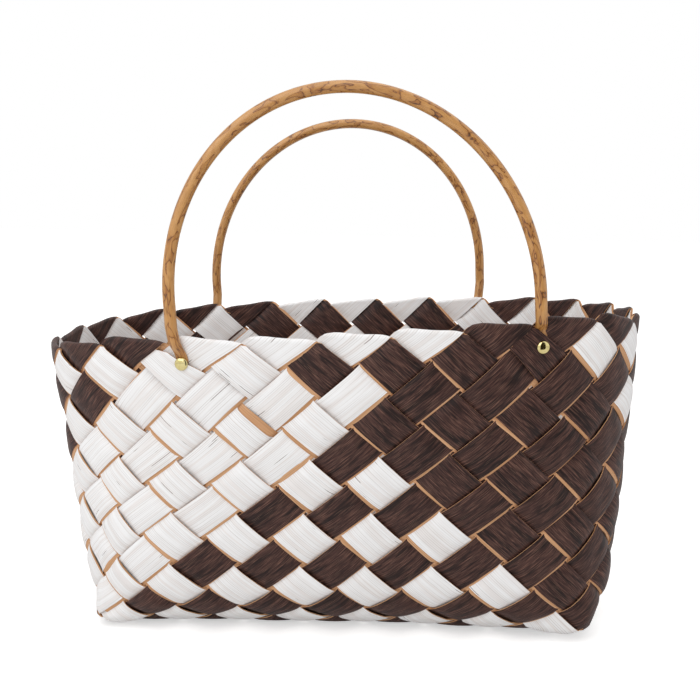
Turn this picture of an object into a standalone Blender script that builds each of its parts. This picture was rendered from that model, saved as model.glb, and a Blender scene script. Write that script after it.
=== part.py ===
# Woven strip basket with two cane handles. Metres, +Z up, base on the floor, front towards -Y.
import math

import bmesh
import bpy
import numpy as np
from mathutils import Vector

# Rim: a rounded oblong that all strips fold over, hand-made and a little uneven
RIM_LEFT = 0.2235
RIM_RIGHT = 0.218
RIM_DEPTH = 0.2355
RIM_SQUARENESS = 2.9
RIM_RISE = 0.0165
RIM_SHIFT = 0.010

# Walls and base: the weave is counted in cells, one cell being one diamond across
WALL_HEIGHT = 0.226
WALL_BELLY_SHARE = 0.42
BASE_PITCH = 0.0459
BASE_LONG_CELLS = 8
BASE_DEEP_CELLS = 4
WALL_ROWS = 5.5
LEFT_BULGE = 0.005
RIGHT_BULGE = 0.016
EDGE_ROUND = 0.044
LEFT_ROUND = 0.068
RIGHT_ROUND = 0.028

# Towards each corner of the base the edges grow sharper by this share, within this reach
POINT_SHARE = 0.5
POINT_REACH = 0.059

# Strips, each a doubled ply that crosses over and under its neighbours
STRIP_THICK = 0.0012
STRIP_SLIT = 0.0016
LAYER_GAP = 0.0003
CORNER_HOLE = 0.003

# Handles: a bent cane tube with flattened ends tucked in behind the outer strips
TUBE_RADIUS = 0.004
HANDLE_RISE = 0.159
HANDLE_LEAN = 2
HANDLE_SKEW_SHARE = 0.034
NECK_SHIFTS = {"front": -0.0005, "back": 0.0025}
NECK_RISE = 0.012
TUBE_SIDES = 10
ARC_STEPS = 18
LEG_LENGTH = 0.012
FOOT_THICK = 0.002
FOOT_WIDTH = 0.011
FOOT_TAIL = 0.011
FOOT_CLEARANCE = 0.0009
TONGUE_DROP = 0.010

# Down a flattened end: how far down to its seat, how far tucked in, how flat, how far over to the rivet
FOOT_SHARES = ((0, 0, 0, 0), (0.35, 0, 0.5, 0), (0.62, 0.15, 0.8, 0.05), (1, 1, 1, 0.2))

# Rivets through each flattened end, to one side of its cell and below the strip's cut edge
RIVET_SHIFT = 0.0055
RIVET_EDGE = 0.006
CAP_RADIUS = 0.0043
CAP_HEIGHT = 0.0022
POST_RADIUS = 0.0015
TAIL_RADIUS = 0.0026
TAIL_THICK = 0.0008
WASHER_RADIUS = 0.0048
WASHER_THICK = 0.001
FIT_GAP = 0.0003
RIVET_SIDES = 12
CUT_OVERRUN = 0.004

# Turns, in degrees, at which rounded ends are built up
TUBE_DOME_TURNS = (65, 35)
RIVET_DOME_TURNS = (70, 45, 20, 0)
FOOT_TAIL_TURNS = (0, 30, 60)

# Weave places nearer than this, in cells, are the same; directions are taken over the wider step
SAME_PLACE = 1e-6
SLOPE_STEP = 0.002

# Colours, roughness and metallic of each material
MATERIALS = {
    "white_veneer": ((0.78, 0.75, 0.71), 0.55, 0.0),
    "brown_veneer": ((0.075, 0.046, 0.036), 0.55, 0.0),
    "honey_cane": ((0.48, 0.23, 0.055), 0.38, 0.0),
    "polished_brass": ((0.80, 0.66, 0.30), 0.22, 1.0),
}

# Strips leaning right ("R") are white, and those leaning left ("L") dark, over this many folds
WHITE_R_COUNT = 4
DARK_L_COUNT = 4
# Cells from a corner of the base to the nearest edge of a handle end's cell
HANDLE_INSET_CELLS = 1

LONG_HALF = BASE_LONG_CELLS / 2
DEEP_HALF = BASE_DEEP_CELLS / 2
ROUND_CELLS = 2 * (BASE_LONG_CELLS + BASE_DEEP_CELLS)
HALF_ROUND = ROUND_CELLS // 2
FRONT_MIDDLE = 1 + LONG_HALF
RIGHT_MIDDLE = FRONT_MIDDLE + LONG_HALF + DEEP_HALF
BACK_MIDDLE = RIGHT_MIDDLE + LONG_HALF + DEEP_HALF
LEFT_MIDDLE = BACK_MIDDLE + LONG_HALF + DEEP_HALF
BASE_CORNERS = (1, 1 + BASE_LONG_CELLS, 1 + HALF_ROUND, 1 + HALF_ROUND + BASE_LONG_CELLS)
FOOT_SPOTS = ("front_left", "front_right", "back_right", "back_left")
FOOT_INSETS = (HANDLE_INSET_CELLS, -HANDLE_INSET_CELLS - 1) * 2
FOOT_FOLDS = {corner + inset: spot
              for corner, inset, spot in zip(BASE_CORNERS, FOOT_INSETS, FOOT_SPOTS)}
LAYER_LIFT = (STRIP_THICK + LAYER_GAP) / 2
FOOT_LIFT = FOOT_THICK / 2 + LAYER_GAP + STRIP_THICK / 2
BASE_LIFT = LAYER_LIFT + STRIP_THICK / 2
ROW_HEIGHT = WALL_HEIGHT / WALL_ROWS
STRIP_SHARE = 1 - STRIP_SLIT * math.sqrt(2) / BASE_PITCH
HALF_CELL = STRIP_SHARE / 2
SEAT_TO_RIM = ROW_HEIGHT / 2
RIVET_RISE = SEAT_TO_RIM - TONGUE_DROP - RIVET_EDGE
RIM_FACE = LAYER_LIFT + STRIP_THICK / 2 + FOOT_CLEARANCE


def clear_scene():
    for item in list(bpy.data.objects):
        bpy.data.objects.remove(item, do_unlink=True)


def make_material(name):
    colour, roughness, metallic = MATERIALS[name]
    material = bpy.data.materials.new(name)
    material.use_nodes = True
    shader = material.node_tree.nodes["Principled BSDF"]
    shader.inputs["Base Color"].default_value = (*colour, 1)
    shader.inputs["Roughness"].default_value = roughness
    shader.inputs["Metallic"].default_value = metallic
    return material


def signed_power(value, power):
    return math.copysign(abs(value) ** power, value)


def rim_table(samples=1440):
    # The rim oblong, walked from the middle of the front to the right, with its running length
    angles = [2 * math.pi * k / samples for k in range(samples + 1)]
    power = 2 / RIM_SQUARENESS
    reaches = [RIM_RIGHT if a < math.pi else RIM_LEFT for a in angles]
    middle = (RIM_RIGHT - RIM_LEFT) / 2
    xs = np.array([r * signed_power(math.sin(a), power) - middle for r, a in zip(reaches, angles)])
    ys = np.array([-RIM_DEPTH / 2 * signed_power(math.cos(a), power) for a in angles])
    steps = np.hypot(np.diff(xs), np.diff(ys))
    return np.concatenate([[0], np.cumsum(steps)]), xs, ys


RIM_RUN, RIM_X, RIM_Y = rim_table()


def rim_point(s):
    run = ((s - FRONT_MIDDLE) % ROUND_CELLS) / ROUND_CELLS * RIM_RUN[-1]
    return float(np.interp(run, RIM_RUN, RIM_X)), float(np.interp(run, RIM_RUN, RIM_Y))


def base_edge(s):
    # Sharp-cornered outline of the base, in cells, at the fold place s
    s = (s - 1) % ROUND_CELLS
    if s <= BASE_LONG_CELLS:
        return s - LONG_HALF, -DEEP_HALF
    if s <= HALF_ROUND:
        return LONG_HALF, s - BASE_LONG_CELLS - DEEP_HALF
    if s <= HALF_ROUND + BASE_LONG_CELLS:
        return HALF_ROUND + LONG_HALF - s, DEEP_HALF
    return -LONG_HALF, ROUND_CELLS - DEEP_HALF - s


def round_off(distance, radius):
    # How far a point this far from a sharp edge moves in, so that the edge becomes a soft curve
    share = max(0.0, (radius - distance) / (2 * radius))
    return radius * share * share


def bluntness(distance):
    # How much of the soft curves is left this far from a corner of the base
    near = 1 - min(1.0, distance / POINT_REACH)
    return 1 - POINT_SHARE * near * near * (3 - 2 * near)


def rounding(x_cells, y_cells, rows_up, corner_share):
    # Moves off the end wall, the long wall and the floor near the edges where two of them meet
    to_end = (LONG_HALF - abs(x_cells)) * BASE_PITCH
    to_side = (DEEP_HALF - abs(y_cells)) * BASE_PITCH
    to_floor = rows_up * ROW_HEIGHT
    blunt = bluntness(to_end + to_side + to_floor)
    corner_round = RIGHT_ROUND if x_cells > 0 else LEFT_ROUND
    end_side = round_off(to_end + to_side, corner_round) * corner_share * blunt
    end_floor = round_off(to_end + to_floor, EDGE_ROUND) * blunt
    side_floor = round_off(to_side + to_floor, EDGE_ROUND) * blunt
    across = -math.copysign(math.hypot(end_side, end_floor), x_cells)
    deep = -math.copysign(math.hypot(end_side, side_floor), y_cells)
    return Vector((across, deep, math.hypot(end_floor, side_floor)))


def floor_place(x_cells, y_cells):
    # A place on the floor; the ends of the base bulge out between its corners
    bulge = RIGHT_BULGE if x_cells > 0 else LEFT_BULGE
    bulge *= (x_cells / LONG_HALF) ** 3 * (1 - (y_cells / DEEP_HALF) ** 2)
    return Vector((x_cells * BASE_PITCH - RIM_SHIFT + bulge, y_cells * BASE_PITCH, BASE_LIFT))


def wall_point(s, v):
    down_share = v / WALL_ROWS
    in_share = down_share - WALL_BELLY_SHARE * down_share * (1 - down_share)
    rim_x, rim_y = rim_point(s)
    x_cells, y_cells = base_edge(s)
    tilt = RIM_RISE * rim_x * 2 / (RIM_LEFT + RIM_RIGHT)
    rise = Vector((0, 0, (WALL_HEIGHT + tilt) * (1 - down_share)))
    rim = Vector((rim_x, rim_y, BASE_LIFT))
    place = rim.lerp(floor_place(x_cells, y_cells), in_share) + rise
    return place + rounding(x_cells, y_cells, WALL_ROWS - v, max(0.0, down_share))


def base_point(x_cells, y_cells):
    return floor_place(x_cells, y_cells) + rounding(x_cells, y_cells, 0, 1)


def side_of(s):
    # Which wall a strip leaves for the base: 0 front, 1 right, 2 back, 3 left
    s = (s - 1) % ROUND_CELLS
    bounds = (BASE_LONG_CELLS, HALF_ROUND, HALF_ROUND + BASE_LONG_CELLS, ROUND_CELLS)
    return next(k for k, bound in enumerate(bounds) if s < bound)


def on_base(side, s, v):
    # Base cells, counted from its middle, of a place v rows down a wall and on over the floor
    run = v - WALL_ROWS
    shift = round((s - (FRONT_MIDDLE, RIGHT_MIDDLE, BACK_MIDDLE, LEFT_MIDDLE)[side]) / ROUND_CELLS)
    s = s - shift * ROUND_CELLS
    if side == 0:
        return s - FRONT_MIDDLE, run - DEEP_HALF
    if side == 1:
        return LONG_HALF - run, s - RIGHT_MIDDLE
    if side == 2:
        return BACK_MIDDLE - s, DEEP_HALF - run
    return run - LONG_HALF, LEFT_MIDDLE - s


def settle(side, s, v):
    # Turns a place along a strip's run into ("wall", s, v) or ("base", x, y)
    if v <= WALL_ROWS:
        return "wall", s, v
    x, y = on_base(side, s, v)
    past_end = abs(x) - LONG_HALF
    past_side = abs(y) - DEEP_HALF
    if max(past_end, past_side) <= 0:
        return "base", x, y
    if past_end > past_side:
        return "wall", (RIGHT_MIDDLE + y if x > 0 else LEFT_MIDDLE - y), WALL_ROWS - past_end
    return "wall", (BACK_MIDDLE - x if y > 0 else FRONT_MIDDLE + x), WALL_ROWS - past_side


def point_at(place):
    kind, first, second = place
    return wall_point(first, second) if kind == "wall" else base_point(first, second)


def frame_at(place):
    # The point, its outward direction, and the direction up the wall
    kind, first, second = place
    step = SLOPE_STEP
    along = point_at((kind, first + step, second)) - point_at((kind, first - step, second))
    down = point_at((kind, first, second + step)) - point_at((kind, first, second - step))
    outward = down.cross(along)
    return point_at(place), outward.normalized(), -down.normalized()


def seat_frame(fold):
    # The flat seat of a handle end: its middle, and the directions along, up and out of the wall
    s = fold + 0.5
    top = wall_point(s, 0.5 - HALF_CELL)
    bottom = wall_point(s, 0.5 + HALF_CELL)
    left = wall_point(s - HALF_CELL, 0.5)
    right = wall_point(s + HALF_CELL, 0.5)
    up = (top - bottom).normalized()
    outward = (right - left).cross(up).normalized()
    return (top + bottom + left + right) / 4, up.cross(outward), up, outward


SEATS = {fold: seat_frame(fold) for fold in FOOT_FOLDS}


def seat_under(place):
    # The handle end's seat whose square is centred on this place, if there is one
    kind, s, v = place
    if kind != "wall" or abs(v - 0.5) > SAME_PLACE:
        return None
    return next((f for f in FOOT_FOLDS if abs((s - f - 0.5) % ROUND_CELLS) < SAME_PLACE), None)


def strip_run(family, fold):
    # Every crossing of one strip, from its fold at the rim to its other fold
    lean = -1 if family == "R" else 1
    side = side_of(fold + lean * WALL_ROWS)
    run = []
    k = 0
    while True:
        centre = (fold + lean * k / 2, k / 2)
        place = settle(side, *centre)
        run.append((centre, place, (k % 2 == 0) == (family == "R")))
        if k / 2 > WALL_ROWS and place[0] == "wall" and place[2] < SAME_PLACE:
            break
        k += 1
    return side, lean, run


def near_base_corner(spot):
    # True for the three tips that meet at each corner of the base
    kind, first, second = spot
    if kind == "base":
        return max(LONG_HALF - abs(first), DEEP_HALF - abs(second)) < 1 - STRIP_SHARE
    to_corner = min(abs((first - c + 1) % ROUND_CELLS - 1) for c in BASE_CORNERS)
    return max(to_corner, abs(second - WALL_ROWS)) < 1 - STRIP_SHARE


def crossing_corners(side, lean, centre, place):
    # The four corners of a crossing's square, named by the way along and across the strip
    seat = seat_under(place)
    corners = {}
    for ahead in (-1, 1):
        for across in (-1, 1):
            to_tip = (ahead * lean - across) / 2, (ahead + across * lean) / 2
            reach = HALF_CELL
            spot = settle(side, centre[0] + reach * to_tip[0], centre[1] + reach * to_tip[1])
            if near_base_corner(spot):
                reach -= CORNER_HOLE / BASE_PITCH
                spot = settle(side, centre[0] + reach * to_tip[0], centre[1] + reach * to_tip[1])
            point, outward, up = frame_at(spot)
            if seat is not None:
                middle, _, up, outward = SEATS[seat]
                point = point - outward * (point - middle).dot(outward)
            corners[ahead, across] = (spot, point, outward, up)
    return corners


def raised(corner, lift):
    _, point, outward, _ = corner
    return point + outward * lift, outward


def rim_end(corners, inner, knots, over):
    # The strip folds over the rim and ends as a short flap inside it
    centre_lift = -2 * LAYER_LIFT
    radius = 3 * LAYER_LIFT if over else LAYER_LIFT
    shared = next(a for a in (-1, 1) if abs(corners[inner, a][0][2]) < SAME_PLACE)
    fold_corners = {shared: corners[inner, shared], -shared: corners[-inner, -shared]}
    tip = corners[inner, -shared]
    rungs = []
    for turn in (0, 0.5, 1):
        rung = {}
        for across, (_, point, outward, up) in fold_corners.items():
            spoke = outward * math.cos(math.pi * turn) + up * math.sin(math.pi * turn)
            rung[across] = (point + outward * centre_lift + spoke * radius, spoke)
        rungs.append(rung)
    rungs[0][shared] = knots[shared]
    _, point, outward, _ = tip
    flap_end = point + outward * (centre_lift - radius), -outward
    rungs.append({shared: rungs[-1][shared], -shared: flap_end})
    return rungs


def tongue_end(corners, inner, knots, lift):
    # Over a handle end the strip stops short of the rim, cut straight across
    shared = next(a for a in (-1, 1) if abs(corners[inner, a][0][2] - 0.5) < SAME_PLACE)
    cut_share = (0.5 - TONGUE_DROP / ROW_HEIGHT) / HALF_CELL
    peak, outward = raised(corners[-inner, shared], lift)
    wide = raised(corners[-inner, -shared], lift)
    first = {shared: knots[shared], -shared: wide}
    last = {a: (first[a][0].lerp(peak, cut_share), outward) for a in (-1, 1)}
    return [first, last]


def strip_rungs(family, fold):
    # Pairs of points across the strip, one pair on each side of every crossing's square
    side, lean, run = strip_run(family, fold)
    rungs = []
    for k, (centre, place, over) in enumerate(run):
        seat = seat_under(place)
        lift = (FOOT_LIFT if seat is not None else LAYER_LIFT) * (1 if over else -1)
        corners = crossing_corners(side, lean, centre, place)
        pair = {ahead: {a: raised(corners[ahead, a], lift) for a in (-1, 1)} for ahead in (-1, 1)}
        at_seat = over and seat is not None
        if k == 0 or (k == 1 and at_seat):
            end = tongue_end(corners, 1, pair[1], lift) if k else rim_end(corners, 1, pair[1], over)
            rungs = [*reversed(end), pair[1]]
        elif k == len(run) - 2 and at_seat:
            return rungs + [pair[-1]] + tongue_end(corners, -1, pair[-1], lift)
        elif k == len(run) - 1:
            rungs += [pair[-1]] + rim_end(corners, -1, pair[-1], over)
        else:
            rungs += [pair[-1], pair[1]]
    return rungs


def fold_is_outer(a, b, c, d):
    # True when the diagonal a-d of a bent square stands further out than the diagonal b-c
    outward = a[1] + b[1] + c[1] + d[1]
    return (a[0] + d[0] - b[0] - c[0]).dot(outward) >= 0


def add_panel(mesh, near, far):
    # Top, bottom and edges of the strip between two rungs; a shared point makes a triangle
    (a, b), (c, d) = ((rung[-1], rung[1]) for rung in (near, far))
    if a is c:
        triangles = [(a, d, b)]
    elif b is d:
        triangles = [(a, c, b)]
    elif fold_is_outer(a, b, c, d):
        triangles = [(a, c, d), (a, d, b)]
    else:
        triangles = [(a, c, b), (c, d, b)]
    for triangle in triangles:
        mesh.face([(knot, 1) for knot in triangle])
        mesh.face([(knot, -1) for knot in reversed(triangle)])
    for first, second in ((a, c), (d, b)):
        if first is not second:
            mesh.face([(first, 1), (first, -1), (second, -1), (second, 1)])


def add_cap(mesh, rung, first):
    a, b = (rung[-1], rung[1]) if first else (rung[1], rung[-1])
    mesh.face([(a, 1), (b, 1), (b, -1), (a, -1)])


class StripMesh:
    # Points are kept once for each knot and face, so that neighbouring panels share them
    def __init__(self):
        self.shape = bmesh.new()
        self.corners = {}

    def corner(self, knot, face):
        key = (id(knot), face)
        if key not in self.corners:
            point, outward = knot
            self.corners[key] = self.shape.verts.new(point + outward * face * STRIP_THICK / 2)
        return self.corners[key]

    def face(self, ends):
        self.shape.faces.new([self.corner(knot, face) for knot, face in ends])


def add_object(name, shape, material, origin=None):
    # Writes a bmesh into a new object whose origin may stand on a joint's axis
    bmesh.ops.recalc_face_normals(shape, faces=shape.faces)
    if origin is not None:
        bmesh.ops.translate(shape, verts=shape.verts, vec=-origin)
    mesh = bpy.data.meshes.new(name)
    shape.to_mesh(mesh)
    shape.free()
    mesh.materials.append(material)
    item = bpy.data.objects.new(name, mesh)
    item.location = origin or Vector()
    bpy.context.scene.collection.objects.link(item)
    return item


def make_strip(name, family, fold, material):
    rungs = strip_rungs(family, fold)
    mesh = StripMesh()
    for near, far in zip(rungs, rungs[1:]):
        add_panel(mesh, near, far)
    add_cap(mesh, rungs[0], True)
    add_cap(mesh, rungs[-1], False)
    return add_object(name, mesh.shape, material)


def far_end(family, fold):
    # The family and fold place at a strip's other end
    _, _, run = strip_run(family, fold)
    (_, before, _), (_, after, _) = run[-2:]
    return ("R" if after[1] > before[1] else "L"), round(after[1]) % ROUND_CELLS


def is_white(family, fold):
    place = fold % HALF_ROUND - FRONT_MIDDLE
    if family == "R":
        return -WHITE_R_COUNT / 2 <= place < WHITE_R_COUNT / 2
    return not 1 - DARK_L_COUNT / 2 <= place < 1 + DARK_L_COUNT / 2


def strip_starts():
    # Strips are numbered from those that hold the handle ends, and then round the rim
    seated = [start for fold in FOOT_FOLDS for start in (("L", fold), ("R", fold + 1))]
    return seated + [(family, fold) for family in "RL" for fold in range(ROUND_CELLS)]


def make_strips(materials):
    # Returns the strips that lie over and under each handle end
    done = set()
    counts = {"white": 0, "brown": 0}
    at_seats = {fold: [] for fold in FOOT_FOLDS}
    for family, fold in strip_starts():
        if (family, fold) in done:
            continue
        ends = [(family, fold), far_end(family, fold)]
        done.update(ends)
        colour = "white" if is_white(family, fold) else "brown"
        counts[colour] += 1
        name = f"{colour}_strip_{counts[colour]:02d}"
        strip = make_strip(name, family, fold, materials[colour + "_veneer"])
        for seat in FOOT_FOLDS:
            if ("L", seat) in ends or ("R", seat + 1) in ends:
                at_seats[seat].append(strip)
    return at_seats


def loft(shape, rings):
    # Skins a row of rings with the same number of points and closes both ends
    rows = [[shape.verts.new(point) for point in ring] for ring in rings]
    for near, far in zip(rows, rows[1:]):
        for k in range(len(near)):
            n = (k + 1) % len(near)
            shape.faces.new((near[k], near[n], far[n], far[k]))
    shape.faces.new(reversed(rows[0]))
    shape.faces.new(rows[-1])


def ring_points(centre, across, deep, count):
    angles = [2 * math.pi * k / count for k in range(count)]
    return [centre + across * math.cos(a) + deep * math.sin(a) for a in angles]


def neck_shift(fold):
    return NECK_SHIFTS[FOOT_FOLDS[fold].split("_")[0]]


def neck_centre(fold):
    middle, along, up, outward = SEATS[fold]
    lift = up * (SEAT_TO_RIM + NECK_RISE) + outward * (RIM_FACE + TUBE_RADIUS)
    return middle + along * neck_shift(fold) + lift


def foot_rings(fold):
    # The tube goes flat on its way down and bends over to the rivet
    seat, along, up, outward = SEATS[fold]
    drop = TONGUE_DROP - FOOT_THICK / 2
    heights = [SEAT_TO_RIM + NECK_RISE - TUBE_RADIUS - FIT_GAP]
    heights += [SEAT_TO_RIM - share * drop for share, *_ in FOOT_SHARES] + [RIVET_RISE]
    shapes = [FOOT_SHARES[0], *FOOT_SHARES, (1, 1, 1, 1)]
    rings = []
    for height, (_, tucked, flat, over) in zip(heights, shapes):
        half_wide = TUBE_RADIUS + (FOOT_WIDTH / 2 - TUBE_RADIUS) * flat
        half_thick = TUBE_RADIUS + (FOOT_THICK / 2 - TUBE_RADIUS) * flat
        lift = (RIM_FACE + half_thick) * (1 - tucked)
        middle = seat + along * (neck_shift(fold) + (RIVET_SHIFT - neck_shift(fold)) * over)
        rings.append(ring_points(middle + up * height + outward * lift,
                                 along * half_wide, outward * half_thick, TUBE_SIDES))
    for turn in FOOT_TAIL_TURNS:
        angle = math.radians(turn)
        height = (FOOT_TAIL - FOOT_WIDTH / 2) + FOOT_WIDTH / 2 * math.sin(angle)
        rings.append(ring_points(middle - up * height, along * FOOT_WIDTH / 2 * math.cos(angle),
                                 outward * FOOT_THICK / 2, TUBE_SIDES))
    return rings


def make_foot(name, fold, material):
    shape = bmesh.new()
    loft(shape, foot_rings(fold))
    return add_object(name, shape, material)


def bow_path(left, right):
    # Up one leg, round the arc and down the other leg, with the way along it at each point
    along = (right - left).normalized()
    half = (right - left).length / 2
    upright = (Vector((0, 0, 1)) - along * along.z).normalized()
    inward = Vector((0, -left.y, 0)).normalized()
    lean = math.radians(HANDLE_LEAN)
    up = upright * math.cos(lean) + inward * math.sin(lean)
    top = (up - along * HANDLE_SKEW_SHARE) * (HANDLE_RISE - NECK_RISE - LEG_LENGTH)
    middle = (left + right) / 2 + up * LEG_LENGTH
    path = [(left, up)]
    for k in range(ARC_STEPS + 1):
        angle = math.pi * k / ARC_STEPS
        point = middle - along * half * math.cos(angle) + top * math.sin(angle)
        path.append((point, (along * half * math.sin(angle) + top * math.cos(angle)).normalized()))
    path.append((right, -up))
    return path


def make_bow(name, left, right, material):
    # A round tube whose ends are domes centred on the axis that the handle leans about
    path = bow_path(left, right)
    forward = path[0][1].cross(right - left).normalized()
    rings = []
    domes = [math.radians(turn) for turn in TUBE_DOME_TURNS]
    start, start_way = path[0]
    end, end_way = path[-1]
    for angle in domes:
        centre = start - start_way * TUBE_RADIUS * math.sin(angle)
        rings.append((centre, start_way, TUBE_RADIUS * math.cos(angle)))
    rings += [(point, way, TUBE_RADIUS) for point, way in path]
    for angle in reversed(domes):
        centre = end + end_way * TUBE_RADIUS * math.sin(angle)
        rings.append((centre, end_way, TUBE_RADIUS * math.cos(angle)))
    shape = bmesh.new()
    loft(shape, [ring_points(centre, way.cross(forward) * radius, forward * radius, TUBE_SIDES)
                 for centre, way, radius in rings])
    return add_object(name, shape, material, (left + right) / 2)


def turned(seat, profile, closed):
    # A profile of (radius, height) turned about the line out of the wall through the seat
    middle, along, up, outward = seat
    shape = bmesh.new()
    rows = [ring_points(middle + outward * height, along * radius, up * radius, RIVET_SIDES)
            for radius, height in profile]
    if not closed:
        loft(shape, rows)
        return shape
    verts = [[shape.verts.new(point) for point in row] for row in rows]
    for near, far in zip(verts, verts[1:] + verts[:1]):
        for k in range(RIVET_SIDES):
            n = (k + 1) % RIVET_SIDES
            shape.faces.new((near[k], near[n], far[n], far[k]))
    return shape


def rivet_seat(fold):
    middle, along, up, outward = SEATS[fold]
    return middle + along * RIVET_SHIFT + up * RIVET_RISE, along, up, outward


def make_rivet(name, fold, material):
    face = FOOT_LIFT + STRIP_THICK / 2 + FIT_GAP
    tail = -face - WASHER_THICK - FIT_GAP
    turns = [math.radians(turn) for turn in RIVET_DOME_TURNS]
    dome = [(math.cos(turn), math.sin(turn)) for turn in turns]
    profile = [(CAP_RADIUS * across, face + CAP_HEIGHT * rise) for across, rise in dome]
    profile += [(POST_RADIUS, face), (POST_RADIUS, tail)]
    profile += [(TAIL_RADIUS, tail), (TAIL_RADIUS - TAIL_THICK / 2, tail - TAIL_THICK)]
    return add_object(name, turned(rivet_seat(fold), profile, False), material)


def make_washer(name, fold, material):
    face = -(FOOT_LIFT + STRIP_THICK / 2 + FIT_GAP)
    bore = POST_RADIUS + FIT_GAP
    profile = [(bore, face), (WASHER_RADIUS, face)]
    profile += [(WASHER_RADIUS, face - WASHER_THICK), (bore, face - WASHER_THICK)]
    return add_object(name, turned(rivet_seat(fold), profile, True), material)


def cut_rivet_hole(fold, pieces, name):
    reach = FOOT_LIFT + STRIP_THICK / 2 + CUT_OVERRUN
    bore = POST_RADIUS + FIT_GAP
    shape = turned(rivet_seat(fold), [(bore, reach), (bore, -reach)], False)
    cutter = add_object(name, shape, None)
    cutter.hide_render = True
    cutter.display_type = "WIRE"
    for piece in pieces:
        cut = piece.modifiers.new(name, "BOOLEAN")
        cut.operation = "DIFFERENCE"
        cut.object = cutter


def make_handles(at_seats, materials):
    cane, brass = materials["honey_cane"], materials["polished_brass"]
    necks = {spot: neck_centre(fold) for fold, spot in FOOT_FOLDS.items()}
    make_bow("front_handle_bow", necks["front_left"], necks["front_right"], cane)
    make_bow("back_handle_bow", necks["back_right"], necks["back_left"], cane)
    for fold, spot in FOOT_FOLDS.items():
        foot = make_foot("handle_end_" + spot, fold, cane)
        make_rivet("rivet_" + spot, fold, brass)
        make_washer("washer_" + spot, fold, brass)
        cut_rivet_hole(fold, at_seats[fold] + [foot], "rivet_hole_" + spot)


def main():
    clear_scene()
    materials = {name: make_material(name) for name in MATERIALS}
    make_handles(make_strips(materials), materials)


main()
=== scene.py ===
import bpy
import math
import numpy as np
from mathutils import Matrix, Vector


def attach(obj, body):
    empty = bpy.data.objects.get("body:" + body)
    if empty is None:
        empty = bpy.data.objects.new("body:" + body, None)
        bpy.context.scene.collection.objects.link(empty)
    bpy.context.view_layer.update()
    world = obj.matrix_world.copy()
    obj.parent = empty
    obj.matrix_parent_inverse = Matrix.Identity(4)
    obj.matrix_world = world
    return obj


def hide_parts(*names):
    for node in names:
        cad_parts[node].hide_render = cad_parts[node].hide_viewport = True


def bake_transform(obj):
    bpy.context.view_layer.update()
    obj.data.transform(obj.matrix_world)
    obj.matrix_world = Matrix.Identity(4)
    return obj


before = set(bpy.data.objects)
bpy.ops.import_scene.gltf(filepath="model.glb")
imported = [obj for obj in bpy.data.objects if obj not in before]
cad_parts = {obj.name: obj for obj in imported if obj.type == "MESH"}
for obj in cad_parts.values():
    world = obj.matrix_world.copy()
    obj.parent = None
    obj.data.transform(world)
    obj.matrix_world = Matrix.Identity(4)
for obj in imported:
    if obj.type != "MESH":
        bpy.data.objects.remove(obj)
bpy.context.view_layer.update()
rng = np.random.default_rng(24)


def toLinear(hexColour):
    # sRGB hex to the linear colour that the shaders want
    channels = [int(hexColour[k:k + 2], 16) / 255 for k in (1, 3, 5)]
    return [c / 12.92 if c <= 0.04045 else ((c + 0.055) / 1.055) ** 2.4 for c in channels] + [1.0]


def addNode(tree, kind, settings=None, links=None):
    # One node with its settings; links maps an input's name or number to a value or to another node's output
    node = tree.nodes.new(kind)
    for key, value in (settings or {}).items():
        if key == "stops":
            setStops(node.color_ramp.elements, value)
        else:
            setattr(node, key, value)
    for key, value in (links or {}).items():
        if isinstance(value, bpy.types.NodeSocket):
            tree.links.new(value, node.inputs[key])
        else:
            node.inputs[key].default_value = value
    return node


def setStops(elements, stops):
    while len(elements) < len(stops):
        elements.new(0.5)
    for element, (position, colour) in zip(elements, stops):
        element.position = position
        element.color = toLinear(colour)


# The nodes that recipes name, with their settings
recipeNodes = {
    "read": ("GeometryNodeInputNamedAttribute", {"data_type": "FLOAT"}),
    "readWay": ("GeometryNodeInputNamedAttribute", {"data_type": "FLOAT_VECTOR"}),
    "place": ("ShaderNodeCombineXYZ", {}), "noise": ("ShaderNodeTexNoise", {}),
    "between": ("ShaderNodeMapRange", {"interpolation_type": "SMOOTHSTEP"}),
    "lengthen": ("ShaderNodeVectorMath", {"operation": "SCALE"}),
    "join": ("ShaderNodeVectorMath", {"operation": "ADD"}),
    "below": ("FunctionNodeCompare", {"operation": "LESS_THAN"}),
    "move": ("GeometryNodeSetPosition", {}), "realize": ("GeometryNodeRealizeInstances", {}),
    "finish": ("GeometryNodeSetMaterial", {}),
}
for operation in ("add", "subtract", "multiply", "divide", "maximum", "floor", "absolute"):
    recipeNodes[operation] = ("ShaderNodeMath", {"operation": operation.upper()})


def addNodes(tree, made, recipe):
    # Adds a recipe's nodes in turn. A row has the name of what it makes, its node and its links, where the
    # name of something made earlier stands for that
    for name, node, links in recipe:
        kind, settings = recipeNodes[node]
        found = {key: made.get(value, value) if isinstance(value, str) else value
                 for key, value in links.items()}
        made[name] = addNode(tree, kind, settings, found).outputs[0]


def newMaterial(name):
    material = bpy.data.materials.new(name)
    material.use_nodes = True
    material.node_tree.nodes.clear()
    return material, material.node_tree


def addAttribute(mesh, name, kind, values):
    attribute = mesh.attributes.new(name, kind, "POINT")
    field = "vector" if kind == "FLOAT_VECTOR" else "value"
    attribute.data.foreach_set(field, np.ascontiguousarray(values, dtype=np.float32).ravel())


def addObject(name, data):
    item = bpy.data.objects.new(name, data)
    bpy.context.scene.collection.objects.link(item)
    return item


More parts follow.
